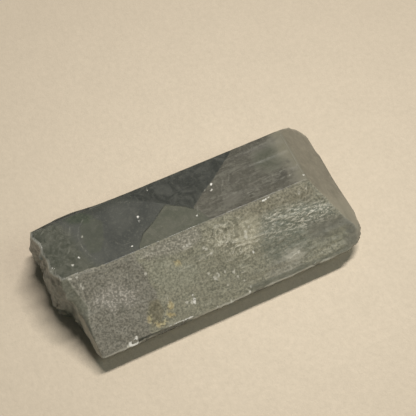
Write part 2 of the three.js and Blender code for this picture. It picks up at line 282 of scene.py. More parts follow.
def lumps(p, seed):
    """Smooth noise between -1 and 1 with one lump per unit."""
    i = np.floor(p).astype(np.int64)
    f = p - i
    u = f * f * f * (f * (f * 6 - 15) + 10)
    out = np.zeros(len(p))
    for dx in (0, 1):
        for dy in (0, 1):
            for dz in (0, 1):
                w = (
                    (u[:, 0] if dx else 1 - u[:, 0])
                    * (u[:, 1] if dy else 1 - u[:, 1])
                    * (u[:, 2] if dz else 1 - u[:, 2])
                )
                out += w * lattice(i + np.array([dx, dy, dz]), seed)
    return out


def fbm(p, octaves, seed):
    """Smooth noise between -1 and 1 with lumps of several sizes."""
    out, total, size = np.zeros(len(p)), 0.0, 1.0
    for k in range(octaves):
        out += size * lumps(p * 2.03**k + 7.1 * k, seed + k)
        total += size
        size *= 0.55
    return out / total


def ridged(p, octaves, seed):
    """Thin crests at 1 between wide hollows at 0."""
    return (1 - np.abs(fbm(p, octaves, seed))) ** 4


def step(x, low, high):
    """A smooth step from 0 at low to 1 at high."""
    t = np.clip((x - low) / (high - low), 0, 1)
    return t * t * (3 - 2 * t)


# ---- distances, in millimetres ---------------------------------------------------------------------


def to_segment(p, start, end):
    """The distance to the straight line between two points."""
    s, e = np.array(start, float), np.array(end, float)
    d = e - s
    t = np.clip(((p - s) @ d) / (d @ d), 0, 1)
    return np.linalg.norm(p - s - t[:, None] * d, axis=1)


def to_lines(plan, lines):
    """The distance to the nearest of some lines, each through a list of points."""
    return np.min([to_segment(plan, s, e) for line in lines for s, e in zip(line, line[1:])], axis=0)


def within(plan, outline):
    """How far inside a closed outline each point of the plan lies; less than 0 outside it."""
    far = np.full(len(plan), 1e9)
    odd = np.zeros(len(plan), bool)
    for s, e in zip(outline, outline[1:] + outline[:1]):
        far = np.minimum(far, to_segment(plan, s, e))
        if s[1] != e[1]:
            at = (e[0] - s[0]) * (plan[:, 1] - s[1]) / (e[1] - s[1]) + s[0]
            odd ^= ((s[1] > plan[:, 1]) != (e[1] > plan[:, 1])) & (plan[:, 0] < at)
    return np.where(odd, far, -far)


def within_balls(p, balls):
    """How far inside the nearest of some balls, each (centre..., radius), every point lies."""
    out = np.full(len(p), -FAR)
    for *centre, radius in balls:
        out = np.maximum(out, radius - np.linalg.norm(p - np.array(centre), axis=1))
    return out


def plane(azimuth, dip, point):
    """A face that looks towards an azimuth and dips from level, as its normal and its distance."""
    a, d = math.radians(azimuth), math.radians(dip)
    n = np.array([math.sin(d) * math.cos(a), math.sin(d) * math.sin(a), math.cos(d)])
    return n, float(n @ np.array(point))


PLANES = {
    "front": plane(-90, FRONT_DIP, (0, RIDGE_Y, HEIGHT)),
    "front_under": plane(-90, 180 - FRONT_DIP, (0, FRONT_GIRDLE_Y, GIRDLE_Z)),
    "end": plane(0, END_DIP, (END_X, 0, GIRDLE_Z)),
}


def depth(p, name):
    """How deep each point lies behind a face."""
    n, c = PLANES[name]
    return c - p @ n


# ---- the crystal's surface -------------------------------------------------------------------------


def read(mesh):
    """The points in the crystal's own millimetres, and their normals."""
    co = np.empty(len(mesh.vertices) * 3, np.float32)
    mesh.vertices.foreach_get("co", co)
    nor = np.empty(len(mesh.vertices) * 3, np.float32)
    mesh.vertices.foreach_get("normal", nor)
    return co.reshape(-1, 3) / MM - SHIFT, nor.reshape(-1, 3).astype(float)


def write(mesh, p):
    """Put the points where they are now, in the crystal's own millimetres."""
    mesh.vertices.foreach_set("co", ((p + SHIFT) * MM).astype(np.float32).ravel())
    mesh.update()


def fine_copy(node, name):
    """The node's own solid as an even, fine mesh."""
    obj = bpy.data.objects.new(name, node.data.copy())
    bpy.context.scene.collection.objects.link(obj)
    remesh = obj.modifiers.new("fine", "REMESH")
    remesh.mode = "VOXEL"
    remesh.voxel_size = VOXEL * MM
    remesh.use_smooth_shade = True
    evaluated = obj.evaluated_get(bpy.context.evaluated_depsgraph_get())
    mesh = bpy.data.meshes.new_from_object(evaluated)
    obj.modifiers.clear()
    obj.data = mesh
    mesh.name = name
    return obj


def neighbours_mean(mesh, p):
    """The middle of each point's neighbours."""
    ends = np.empty(len(mesh.edges) * 2, np.int32)
    mesh.edges.foreach_get("vertices", ends)
    a, b = ends.reshape(-1, 2).T
    count = np.bincount(a, minlength=len(p)) + np.bincount(b, minlength=len(p))
    total = [np.bincount(a, p[b, k], len(p)) + np.bincount(b, p[a, k], len(p)) for k in range(3)]
    return np.stack(total, 1) / count[:, None]


def wear(mesh, p):
    """Round the worn corners, below the flat top face."""
    rounds, strength = 40, 0.8
    much = strength * step(within_balls(p, WORN), 0, 1.5) * step(HEIGHT - p[:, 2], 0.6, 2.0)
    for _ in range(rounds):
        p = p + much[:, None] * (neighbours_mean(mesh, p) - p)
    return p


def straighten(p, nor, edge):
    """Bring the girdle back out to where the even mesh has cut its edge short."""
    cut_short, corner_cut_short = 0.24, 0.45
    front_share = 0.9  # of the way out to the sharp edge
    x, y, z = p.T
    girdle = step(9 - z, 0, 1) * step(z, 2, 3)
    chipped = np.clip(np.minimum(depth(p, "front"), depth(p, "front_under")), 0, 1.2)
    along_front = girdle * step(-y, 12.3, 13.2) * step(27 - x, 0, 1) * step(x + 26.5, 0, 1)
    out = p + nor * (cut_short * edge * girdle * (1 - along_front))[:, None]
    out[:, 1] -= front_share * along_front * chipped / math.sin(math.radians(FRONT_DIP))
    turn = step(x, 26.5, 30.5) * step(-y, -2, 9) * (1 - step(-y, 10.5, 13.5)) * girdle
    out[:, 0] += corner_cut_short * turn
    return out


def shape_broken_end(p):
    """Bring its upper edge out to where the top face stops, and hollow it below."""
    hollow_depth, bulge_y, bulge_width = 0.75, 5.6, 2.0
    x, y, z = p.T
    near_end = step(-x, 24.5, 28.0)
    hollow = step(y, 2.5, 5.0) * step(12.6 - y, 0, 1.2) * step(10.5 - z, 0, 4.0)
    bulge = np.exp(-(((y - bulge_y) / bulge_width) ** 2))
    out = p.copy()
    out[:, 0] += hollow_depth * hollow * near_end
    out[:, 0] -= bulge * near_end * step(z, 12.6, 15.0)
    return out


def split_sliver(p):
    """Cut the broken end back to the sliver's face; also says how deep the cut is."""
    n = np.array(SLIVER[0]) / np.linalg.norm(SLIVER[0])
    beyond = np.maximum((p - np.array(SLIVER[1])) @ n, 0) * step(-p[:, 1], 5.5, 7.5)
    return p - n * beyond[:, None], beyond


def attribute(mesh, name, values):
    """Keep a number on every point, for the material."""
    layer = mesh.attributes.new(name, "FLOAT", "POINT")
    layer.data.foreach_set("value", np.clip(values, -FAR, FAR).astype(np.float32))


def faces(p, nor):
    """How much each point belongs to each kind of surface, from 0 to 1."""
    x, y = p[:, 0], p[:, 1]
    not_under = step(nor[:, 2], -0.1, 0.15)
    broken = step(-nor[:, 0], 0.30, 0.55) * step(-x, 22, 24)
    broken = broken * (1 - step(nor[:, 2], 0.3, 0.5) * step(-y, 0.5, 1.5) * step(y + 6.5, 0, 1.5))
    near_front = np.maximum(step(-nor[:, 1], 0.06, 0.2), step(0.2 - depth(p, "front"), 0, 0.12))
    near_front = np.maximum(near_front, step(RIDGE_Y - y, 0.2, 0.5) * step(-x, 19, 23))
    front = near_front * not_under * (1 - broken)
    end = np.maximum(step(nor[:, 0], 0.35, 0.55), step(0.2 - depth(p, "end"), 0, 0.12)) * not_under
    end = end * (1 - front * step(-nor[:, 1], 0.4, 0.55))
    under = step(-nor[:, 2], 0.05, 0.3) * (1 - broken)
    back = step(nor[:, 1], 0.4, 0.7) * (1 - broken) * (1 - under)
    return {"front": front, "broken": broken, "end": end, "under": under, "back": back}


def relief(p, part):
    """Fine relief of each surface, in millimetres outwards."""
    x, y, z = p.T
    plan = p[:, :2]
    grain = GRAIN * fbm(p * 2.2, 2, 3) + PITS * lumps(p * 3.6, 5)
    along = np.stack([x * 0.45, y * 1.9, z * 1.9], 1)
    warp = 0.7 * np.stack([lumps(p * 0.5, 61), lumps(p * 0.5, 62), lumps(p * 0.5, 63)], 1)
    outside_violet = step(within(plan, FRONT_REGIONS["violet"]), 0.5, -0.5)
    striped = step(x, 4, 14) * (0.4 + 0.6 * step(-y, 3.0, 4.5)) * outside_violet
    swirled = step(within(plan, FRONT_REGIONS["swirl"]), -1.5, 0.5)
    scratched = step(0.5 - to_lines(plan, SCRATCHES), 0, 0.4)
    strokes = STROKES * striped * ridged(along + warp, 2, 9)
    strokes += SWIRLS * swirled * ridged(p * 0.85 + warp, 2, 31)
    frosted = np.maximum(part["front"], 0.6 * part["under"])
    hackle = HACKLE * fbm(p * 0.9, 3, 21) + SPLINTERS * ridged(p * 1.3, 2, 25)
    hackle = hackle * (1 - 0.8 * step(-y, 2, 4))
    ledges = LEDGES * ridged(np.stack([x * 0.3, y * 0.6, z * 1.4], 1), 2, 51)
    out = frosted * (grain + strokes + SCRATCH * scratched) + part["broken"] * hackle
    return out - part["back"] * ledges + part["end"] * END_WAVES * fbm(p * 0.8, 3, 71)


def knocks_and_highlights(plan, nor):
    """How far inside the bruises, some of them painted highlights, and the glints, which are painted
    highlights, each point lies, where the surface looks up.
    """
    looks_up = nor[:, 2] > 0.375
    bruise_and_highlight, glint = within_balls(plan, BRUISES_AND_HIGHLIGHTS), within_balls(plan, GLINTS)
    for start, stop, radius in BRUISED_AND_HIGHLIT_EDGES:
        bruise_and_highlight = np.maximum(bruise_and_highlight, radius - to_segment(plan, start, stop))
    return np.where(looks_up, bruise_and_highlight, -FAR), np.where(looks_up, glint, -FAR)


def keep_plan_distances(mesh, plan):
    """Keep each point's distances, seen from above, to what is drawn on the faces."""
    for name, outline in {**TOP_REGIONS, **FRONT_REGIONS}.items():
        attribute(mesh, name, within(plan, outline))
    for name, lines in {"streak": STREAKS, "scratch": SCRATCHES, "crack": DARK_CRACKS}.items():
        attribute(mesh, name, to_lines(plan, lines))
    attribute(mesh, "stain", np.max([within(plan, outline) for outline in STAINS], axis=0))
    attribute(mesh, "eye", np.min([np.hypot(*(plan - eye).T) for eye in EYES], axis=0))


def keep_edge_distances(mesh, unworn, p):
    """Keep each point's distances to the edges: three from its unworn place, three from its own."""
    x, y, z = unworn.T
    attribute(mesh, "rim", np.minimum(BACK_EDGE_Y - y, x - BROKEN_RIM_X))
    attribute(mesh, "ridge", np.hypot(y - RIDGE_Y, z - HEIGHT))
    attribute(mesh, "girdle", np.hypot(y - FRONT_GIRDLE_Y, z - GIRDLE_Z))
    overlap = 0.3 + 0.6 * step(-p[:, 0], 19, 23)
    attribute(mesh, "past_ridge", RIDGE_Y + overlap - p[:, 1])
    attribute(mesh, "near_end", p[:, 0] - TOP_END_X)
    attribute(mesh, "below_top", HEIGHT - p[:, 2])


def build_crystal(node):
    """The crystal's fine surface. What the material needs to know is kept on its points."""
    obj = fine_copy(node, "crystal")
    mesh = obj.data
    unworn, nor = read(mesh)
    plan = unworn[:, :2]
    sharpness = ((unworn - neighbours_mean(mesh, unworn)) * nor).sum(1)
    edge = step(sharpness, BLUNT, SHARP)
    part = faces(unworn, nor)
    p, cut = split_sliver(shape_broken_end(straighten(wear(mesh, unworn), nor, edge)))
    part["sliver"] = part["broken"] * step(cut, 0.02, 0.2)
    bruise_and_highlight, glint = knocks_and_highlights(plan, nor)
    crushed = CRUSHED * step(bruise_and_highlight, -0.1, 0.2) * lumps(p * 3.1, 81)
    p = p + nor * (relief(p, part) + crushed)[:, None]
    p[:, 2] = np.maximum(p[:, 2], 0)
    write(mesh, p)

    for name, values in {**part, "edge": edge, "bruise_and_highlight": bruise_and_highlight, "glint": glint}.items():
        attribute(mesh, name, values)
    keep_plan_distances(mesh, plan)
    keep_edge_distances(mesh, unworn, p)
    return obj


# ---- materials -------------------------------------------------------------------------------------


# Sockets of the Mix node, by place, because those for numbers and for colours share their names.
NUMBER_A, NUMBER_B, NUMBER_OUT = 2, 3, 0
COLOUR_A, COLOUR_B, COLOUR_OUT = 6, 7, 2


class Nodes:
    """Short ways to add the nodes of one material."""

    def __init__(self, name):
        self.material = bpy.data.materials.new(name)
        self.material.use_nodes = True
        self.tree = self.material.node_tree
        self.tree.nodes.clear()

    def add(self, kind, settings=None, **inputs):
        """A node with these settings, and with its inputs given by name."""
        node = self.tree.nodes.new(kind)
        for key, value in (settings or {}).items():
            setattr(node, key, value)
        for key, value in inputs.items():
            self.set(node.inputs[key.replace("_", " ")], value)
        return node

    def set(self, socket, value):
        """Link a socket, or give it a number or a colour."""
        if isinstance(value, bpy.types.NodeSocket):
            self.tree.links.new(value, socket)
        elif isinstance(value, (tuple, list)) and len(value) == 3 and socket.type == "RGBA":
            socket.default_value = (*value, 1.0)
        else:
            socket.default_value = value

    def math(self, operation, a, b=None):
        node = self.add("ShaderNodeMath", {"operation": operation})
        self.set(node.inputs[0], a)
        if b is not None:
            self.set(node.inputs[1], b)
        return node.outputs[0]

    def both(self, *masks):
        """Where every one of the masks is 1."""
        out = masks[0]
        for mask in masks[1:]:
            out = self.math("MULTIPLY", out, mask)
        return out

    def mix(self, factor, a, b):
        """A colour between a and b."""
        node = self.add("ShaderNodeMix", {"data_type": "RGBA"})
        self.set(node.inputs["Factor"], factor)
        self.set(node.inputs[COLOUR_A], a)
        self.set(node.inputs[COLOUR_B], b)
        return node.outputs[COLOUR_OUT]

    def blend(self, factor, a, b):
        """A number between a and b."""
        node = self.add("ShaderNodeMix", {"data_type": "FLOAT"})
        self.set(node.inputs["Factor"], factor)
        self.set(node.inputs[NUMBER_A], a)
        self.set(node.inputs[NUMBER_B], b)
        return node.outputs[NUMBER_OUT]

    def ramp(self, value, low, high):
        """0 below low and 1 above high, or the other way round where low is the larger."""
        node = self.add("ShaderNodeMapRange", {"interpolation_type": "SMOOTHSTEP"})
        self.set(node.inputs["Value"], value)
        node.inputs["From Min"].default_value = min(low, high)
        node.inputs["From Max"].default_value = max(low, high)
        node.inputs["To Min"].default_value = 0.0 if low < high else 1.0
        node.inputs["To Max"].default_value = 1.0 if low < high else 0.0
        return node.outputs[0]

    def attribute(self, name):
        """A number kept on the points."""
        return self.add("ShaderNodeAttribute", {"attribute_name": name}).outputs["Fac"]

    def place(self, stretch=(1, 1, 1)):
        """Position in the shared frame, in millimetres, stretched along each axis."""
        where = self.add("ShaderNodeTexCoord").outputs["Object"]
        scale = self.add("ShaderNodeMapping", {"vector_type": "POINT"})
        self.set(scale.inputs["Vector"], where)
        scale.inputs["Scale"].default_value = [s / MM for s in stretch]
        return scale.outputs[0]

    def noise(self, scale, detail, rough, stretch=(1, 1, 1), swirl=0.0):
        """Noise around 0.5 with about this many lumps per millimetre."""
        node = self.add(
            "ShaderNodeTexNoise", Scale=scale, Detail=detail, Roughness=rough, Distortion=swirl
        )
        self.set(node.inputs["Vector"], self.place(stretch))
        return node.outputs["Fac"]

    def crests(self, width, scale, detail, swirl):
        """Thin curving lines, where a noise crosses its middle."""
        noise = self.noise(scale, detail, 0.5, swirl=swirl)
        far = self.math("ABSOLUTE", self.math("SUBTRACT", noise, 0.5))
        return self.ramp(far, width, 0.0)

    def tones(self, noise, low, high, first, second):
        """One colour that turns into a second as a noise passes from low to high."""
        return self.mix(self.ramp(noise, low, high), first, second)

    def dust(self, base, noise, low, high, share, colour):
        """A base with a share of a colour over it as a noise passes from low to high."""
        return self.mix(self.both(self.ramp(noise, low, high), share), base, colour)

    def specks(self, scale, size, share):
        """Small round dots in some share of the cells of a random net."""
        net = self.add("ShaderNodeTexVoronoi", {"feature": "F1"}, Scale=scale, Randomness=1.0)
        self.set(net.inputs["Vector"], self.place())
        chance = self.add("ShaderNodeSeparateColor")
        self.set(chance.inputs["Color"], net.outputs["Color"])
        picked = self.ramp(chance.outputs["Red"], share, share - 0.01)
        return self.both(picked, self.ramp(net.outputs["Distance"], size, 0.6 * size))

    def frayed(self, name, wander, reach):
        """A kept distance with up to some reach of noise added to it."""
        return self.math("ADD", self.attribute(name), self.math("MULTIPLY", wander, reach))

    def inner(self, name, soft, wander, reach):
        """Where a kept distance is above 0, with a soft edge that wanders by noise."""
        centred = self.math("SUBTRACT", wander, 0.5)
        return self.ramp(self.frayed(name, centred, reach), -soft, soft)

    def near(self, name, width, wander, reach):
        """Where a kept distance from lines is small, frayed by noise."""
        return self.ramp(self.frayed(name, wander, reach), width + reach / 2, reach / 2)

    def rings(self, name, apart, wander, reach):
        """Thin rings around the points a kept distance is measured from."""
        turns = self.math("MULTIPLY", self.frayed(name, wander, reach), 2 * math.pi / apart)
        wave = self.math("SINE", turns)
        return self.ramp(wave, 0.45, 0.95)

    def bump(self, height, distance, strength):
        """A normal tilted by a height, of which 1 stands for a distance in millimetres."""
        node = self.add("ShaderNodeBump", Strength=strength, Distance=distance * MM, Height=height)
        return node.outputs["Normal"]

    def layers(self, layers):
        """Coats laid over each other, each (where, colour, clear, rough).

        A coat without a colour only changes how rough the surface is.
        """
        _, colour, clear, rough = layers[0]
        for where, next_colour, next_clear, next_rough in layers[1:]:
            if next_colour is not None:
                colour = self.mix(where, colour, next_colour)
                clear = self.blend(where, clear, next_clear)
            rough = self.blend(where, rough, next_rough)
        return colour, clear, rough

    def finish(self, shader, volume=None):
        """Wire up the output and give back the material."""
        out = self.add("ShaderNodeOutputMaterial")
        self.tree.links.new(shader.outputs[0], out.inputs["Surface"])
        if volume is not None:
            self.tree.links.new(volume.outputs[0], out.inputs["Volume"])
        return self.material


def top_colours(n, mottle, fine, streaky):
    """The colours of the areas that show through the top face."""
    broad = n.noise(0.16, 3, 0.55, swirl=0.5)
    dashes = n.noise(1.2, 4, 0.66, (0.35, 1.4, 1.0), 0.8)
    smoky = n.tones(broad, 0.34, 0.66, (0.24, 0.25, 0.235), (0.34, 0.35, 0.32))
    smoky = n.dust(smoky, mottle, 0.50, 0.70, 0.4, (0.42, 0.42, 0.38))
    cloud = n.tones(mottle, 0.30, 0.70, (0.28, 0.27, 0.225), (0.43, 0.41, 0.345))
    cloud = n.dust(cloud, streaky, 0.50, 0.64, 0.6, (0.52, 0.51, 0.43))
    cloud = n.dust(cloud, streaky, 0.44, 0.34, 0.4, (0.25, 0.23, 0.20))
    cloud = n.dust(cloud, fine, 0.44, 0.58, 0.4, (0.20, 0.19, 0.16))
    corner = n.tones(mottle, 0.36, 0.64, (0.20, 0.215, 0.17), (0.36, 0.365, 0.30))
    dark = n.tones(mottle, 0.38, 0.66, (0.19, 0.20, 0.185), (0.34, 0.35, 0.32))
    return {
        "smoky": n.dust(smoky, fine, 0.54, 0.64, 0.4, (0.46, 0.47, 0.42)),
        "corner": n.dust(corner, fine, 0.52, 0.62, 0.35, (0.46, 0.46, 0.39)),
        # Colours of the painted shade along the top's back edge.
        "back_edge_shade": n.tones(mottle, 0.38, 0.62, (0.17, 0.185, 0.155), (0.29, 0.30, 0.26)),
        "lens": n.tones(mottle, 0.36, 0.66, (0.29, 0.315, 0.235), (0.37, 0.385, 0.30)),
        "green_back_edge_shade": n.tones(fine, 0.4, 0.6, (0.15, 0.20, 0.13), (0.26, 0.30, 0.21)),
        "dark_corner": n.dust(dark, fine, 0.54, 0.64, 0.4, (0.42, 0.43, 0.39)),
        "wedge": n.tones(mottle, 0.32, 0.68, (0.32, 0.335, 0.265), (0.44, 0.44, 0.36)),
        "cloud": n.dust(cloud, dashes, 0.53, 0.62, 0.5, (0.58, 0.56, 0.48)),
        "green": n.tones(fine, 0.36, 0.64, (0.12, 0.13, 0.097), (0.175, 0.18, 0.14)),
    }


def top_layers(n):
    """The clear top face and the cloudy parts that show through it, with painted shade along its back edge
    and broken rim and beside the wedge.
    """
    mottle = n.noise(0.45, 5, 0.66, swirl=0.8)
    fine = n.noise(1.6, 3, 0.6)
    streaky = n.noise(0.8, 4, 0.62, (0.25, 1.3, 1.0), 0.5)
    colour = top_colours(n, mottle, fine, streaky)
    corner = n.inner("corner", 1.2, mottle, 3.0)
    wisps = n.crests(0.045, 0.6, 2, 1.2)
    wedge_shade_line = n.ramp(n.math("ABSOLUTE", n.attribute("wedge")), 0.20, 0.0)
    streaks = n.near("streak", 0.20, fine, 0.5)
    towards_end = n.ramp(n.frayed("near_end", mottle, 4.0), -2.5, 2.4)
    return [
        (1.0, colour["smoky"], 0.64, 0.07),
        (corner, colour["corner"], 0.62, 0.10),
        (n.both(corner, wisps, 0.3), (0.46, 0.47, 0.41), 0.5, 0.12),
        # Painted shade along the top's back edge, dark, and dark green at its left.
        (n.both(n.inner("back_edge_shade", 0.9, mottle, 2.0), 0.5), colour["back_edge_shade"], 0.70, 0.07),
        (n.both(n.inner("lens", 0.3, mottle, 1.6), 0.55), colour["lens"], 0.62, 0.08),
        (n.both(n.inner("green_back_edge_shade", 0.5, mottle, 1.8), 0.6), colour["green_back_edge_shade"], 0.6, 0.10),
        (n.inner("dark_corner", 0.12, fine, 0.3), colour["dark_corner"], 0.70, 0.05),
        (n.inner("wedge", 0.10, fine, 0.3), colour["wedge"], 0.62, 0.09),
        # A dark line along the wedge's outline: painted shade beside the cleavage step inside.
        (n.both(wedge_shade_line, n.ramp(mottle, 0.40, 0.60), 0.45), (0.10, 0.10, 0.08), 0.9, 0.1),
        (n.inner("cloud", 0.12, fine, 0.4), colour["cloud"], 0.60, 0.10),
        (n.both(n.inner("green", 1.4, mottle, 3.4), 0.85), colour["green"], 0.14, 0.09),
        (n.both(n.inner("pale_corner", 0.4, mottle, 1.0), 0.5), (0.45, 0.43, 0.37), 0.55, 0.10),
        (n.both(streaks, n.ramp(streaky, 0.32, 0.50), 0.55), (0.54, 0.53, 0.46), 0.45, 0.10),
        (n.both(towards_end, 0.9), (0.50, 0.475, 0.38), 0.42, 0.10),
        # A dark line along the top's back edge and broken rim: painted shade at the edge.
        (n.both(n.near("rim", 0.22, fine, 0.1), 0.7), (0.10, 0.10, 0.08), 0.8, 0.4),
    ]


def swirl_colour(n, grain, coarse, blotch):
    """Bright curls around the eyes of the swirl, with bright hairs and grains among them."""
    curls = n.both(n.rings("eye", 0.85, blotch, 2.0), n.ramp(n.attribute("eye"), 2.4, 1.4))
    hairs = n.crests(0.035, 0.5, 1, 1.6)
    grains = n.both(n.ramp(grain, 0.55, 0.64), n.ramp(blotch, 0.46, 0.6), 0.7)
    bright = n.both(n.math("MAXIMUM", curls, hairs), n.ramp(coarse, 0.40, 0.56))
    base = n.tones(coarse, 0.34, 0.66, (0.295, 0.285, 0.21), (0.60, 0.57, 0.43))
    return n.mix(n.math("MAXIMUM", bright, grains), base, (0.99, 0.95, 0.78))


def front_colours(n, grain, coarse, blotch):
    """The colours of the areas of the front face."""
    stroke = n.noise(1.5, 4, 0.7, (0.32, 1.3, 1.3), 0.9)
    dashes = n.noise(1.7, 3, 0.6, (0.6, 1.5, 1.5), 0.9)
    dots = n.specks(1.6, 0.30, 0.4)
    frost = n.tones(grain, 0.35, 0.66, (0.265, 0.26, 0.197), (0.67, 0.65, 0.50))
    frost = n.dust(frost, stroke, 0.53, 0.64, 0.5, (0.66, 0.63, 0.49))
    frost = n.dust(frost, stroke, 0.46, 0.36, 0.4, (0.24, 0.24, 0.18))
    green = n.tones(coarse, 0.34, 0.66, (0.255, 0.28, 0.225), (0.48, 0.485, 0.395))
    green = n.dust(green, dashes, 0.55, 0.62, 0.6, (0.80, 0.78, 0.66))
    light = n.math("MAXIMUM", n.ramp(dashes, 0.525, 0.57), n.both(dots, 0.8))
    grey = n.tones(grain, 0.32, 0.68, (0.20, 0.19, 0.157), (0.60, 0.57, 0.485))
    grey = n.dust(grey, coarse, 0.52, 0.68, 0.5, (0.50, 0.475, 0.41))
    flecks = n.math("MAXIMUM", n.ramp(grain, 0.46, 0.64), n.both(dots, 0.6))
    violet = n.tones(blotch, 0.34, 0.66, (0.28, 0.278, 0.235), (0.44, 0.43, 0.365))
    return {
        "bare": n.tones(grain, 0.36, 0.64, (0.22, 0.22, 0.17), (0.36, 0.355, 0.28)),
        "frost": n.dust(frost, blotch, 0.45, 0.70, 0.4, (0.56, 0.53, 0.41)),
        "flecked": n.mix(flecks, (0.40, 0.38, 0.33), (0.98, 0.92, 0.83)),
        "smooth": n.tones(grain, 0.35, 0.65, (0.35, 0.35, 0.265), (0.73, 0.72, 0.57)),
        "grey": n.dust(grey, blotch, 0.44, 0.34, 0.35, (0.23, 0.24, 0.20)),
        "tan": n.tones(grain, 0.37, 0.63, (0.29, 0.265, 0.195), (0.61, 0.56, 0.425)),
        "green": green,
        "pink": n.tones(coarse, 0.36, 0.66, (0.39, 0.375, 0.31), (0.68, 0.65, 0.55)),
        "strokes": n.mix(light, green, (0.96, 0.93, 0.80)),
        "violet": n.dust(violet, stroke, 0.50, 0.62, 0.5, (0.52, 0.51, 0.43)),
        "yellow": n.tones(coarse, 0.38, 0.64, (0.36, 0.36, 0.27), (0.66, 0.64, 0.47)),
        "band": n.tones(blotch, 0.36, 0.64, (0.29, 0.295, 0.235), (0.43, 0.43, 0.345)),
        "brown": n.tones(grain, 0.34, 0.66, (0.18, 0.16, 0.10), (0.42, 0.375, 0.25)),
        "ochre": n.tones(coarse, 0.40, 0.62, (0.56, 0.43, 0.20), (0.72, 0.66, 0.40)),
        "worn": n.tones(grain, 0.42, 0.58, (0.22, 0.21, 0.16), (0.45, 0.425, 0.33)),
    }


def front_layers(n, front, edge):
    """The frosted, etched front face, its quieter parts and its stains, with painted shade in a chip and
    painted light along its lower edges.
    """
    grain, coarse = n.noise(2.4, 4, 0.7), n.noise(1.2, 4, 0.7)
    blotch = n.noise(0.5, 4, 0.6, swirl=0.8)
    colour = front_colours(n, grain, coarse, blotch)
    ridge = n.attribute("ridge")
    frosted = n.both(front, n.inner("frost", 0.12, grain, 0.5))
    frost_border = n.ramp(n.math("ABSOLUTE", n.attribute("frost")), 0.28, 0.05)
    # Light lines along the front's lower edges: partly wear, partly painted light coming out through the
    # edge.
    worn_and_lit_low_edge = n.both(front, edge, n.ramp(ridge, 1.0, 1.4), n.ramp(grain, 0.34, 0.5))
    worn_and_lit_girdle = n.ramp(n.math("ADD", n.attribute("girdle"), coarse), 1.15, 0.90)

    def area(name, soft, reach, share):
        return n.both(frosted, n.inner(name, soft, blotch, reach), share)

    return [
        (front, colour["bare"], 0.36, 0.45),
        (frosted, colour["frost"], 0.35, 0.45),
        (area("ridge_frost", 0.6, 1.6, 0.5), colour["flecked"], 0.35, 0.45),
        (area("smooth", 0.9, 2.0, 0.75), colour["smooth"], 0.36, 0.35),
        (area("pale_spot", 0.6, 1.5, 0.4), (0.62, 0.61, 0.48), 0.35, 0.4),
        (area("grey", 0.3, 1.6, 0.9), colour["grey"], 0.35, 0.45),
        (area("speckled", 1.0, 3.0, 0.75), colour["flecked"], 0.25, 0.45),
        (area("tan", 1.0, 2.4, 0.7), colour["tan"], 0.35, 0.42),
        (area("green_base", 1.2, 3.0, 0.8), colour["green"], 0.40, 0.38),
        (area("pink", 1.0, 2.4, 0.6), colour["pink"], 0.35, 0.42),
        (area("swirl", 1.6, 3.0, 0.85), swirl_colour(n, grain, coarse, blotch), 0.30, 0.42),
        (area("swirl_core", 0.9, 3.0, 0.3), (0.88, 0.82, 0.62), 0.2, 0.45),
        (area("strokes", 0.9, 2.6, 0.6), colour["strokes"], 0.34, 0.40),
        (area("stroke_core", 1.2, 2.6, 0.9), colour["strokes"], 0.30, 0.40),
        (area("haze", 0.8, 2.0, 0.5), (0.80, 0.77, 0.65), 0.2, 0.45),
        (area("violet", 1.0, 2.0, 0.8), colour["violet"], 0.42, 0.32),
        (area("yellow", 0.7, 2.4, 0.6), colour["yellow"], 0.40, 0.35),
        (area("slash", 0.3, 1.0, 0.4), (0.52, 0.52, 0.42), 0.4, 0.3),
        (area("low_band", 0.25, 0.6, 0.85), colour["band"], 0.42, 0.30),
        (area("brown", 0.4, 1.4, 0.7), colour["brown"], 0.3, 0.4),
        (n.both(frosted, n.near("crack", 0.10, grain, 0.2), 0.7), (0.10, 0.095, 0.07), 0.5, 0.5),
        # Painted shade in the chip under the front's lower edge.
        (area("chip_shade", 0.10, 0.1, 0.9), (0.12, 0.12, 0.095), 0.55, 0.25),
        (n.both(frosted, n.near("scratch", 0.10, grain, 0.5), 0.8), (0.95, 0.91, 0.78), 0.1, 0.45),
        (n.both(front, frost_border, n.ramp(coarse, 0.36, 0.5), 0.4), (0.60, 0.59, 0.50), 0.3, 0.45),
        # Pale lines at the lower edges and the girdle: partly wear, partly painted light coming out through
        # the edge.
        (n.both(worn_and_lit_low_edge, 0.6), (0.66, 0.64, 0.54), 0.2, 0.5),
        (n.both(frosted, worn_and_lit_girdle, 0.7), (0.70, 0.68, 0.58), 0.2, 0.5),
        (n.both(frosted, n.ramp(n.attribute("past_ridge"), 0.6, 0.2), 0.7), colour["worn"], 0.36, 0.5),
        (n.ramp(ridge, 0.5, 0.3), None, None, 0.85),
        (n.both(front, n.inner("stain", 0.25, grain, 2.0), 0.8), colour["ochre"], 0.1, 0.6),
    ]


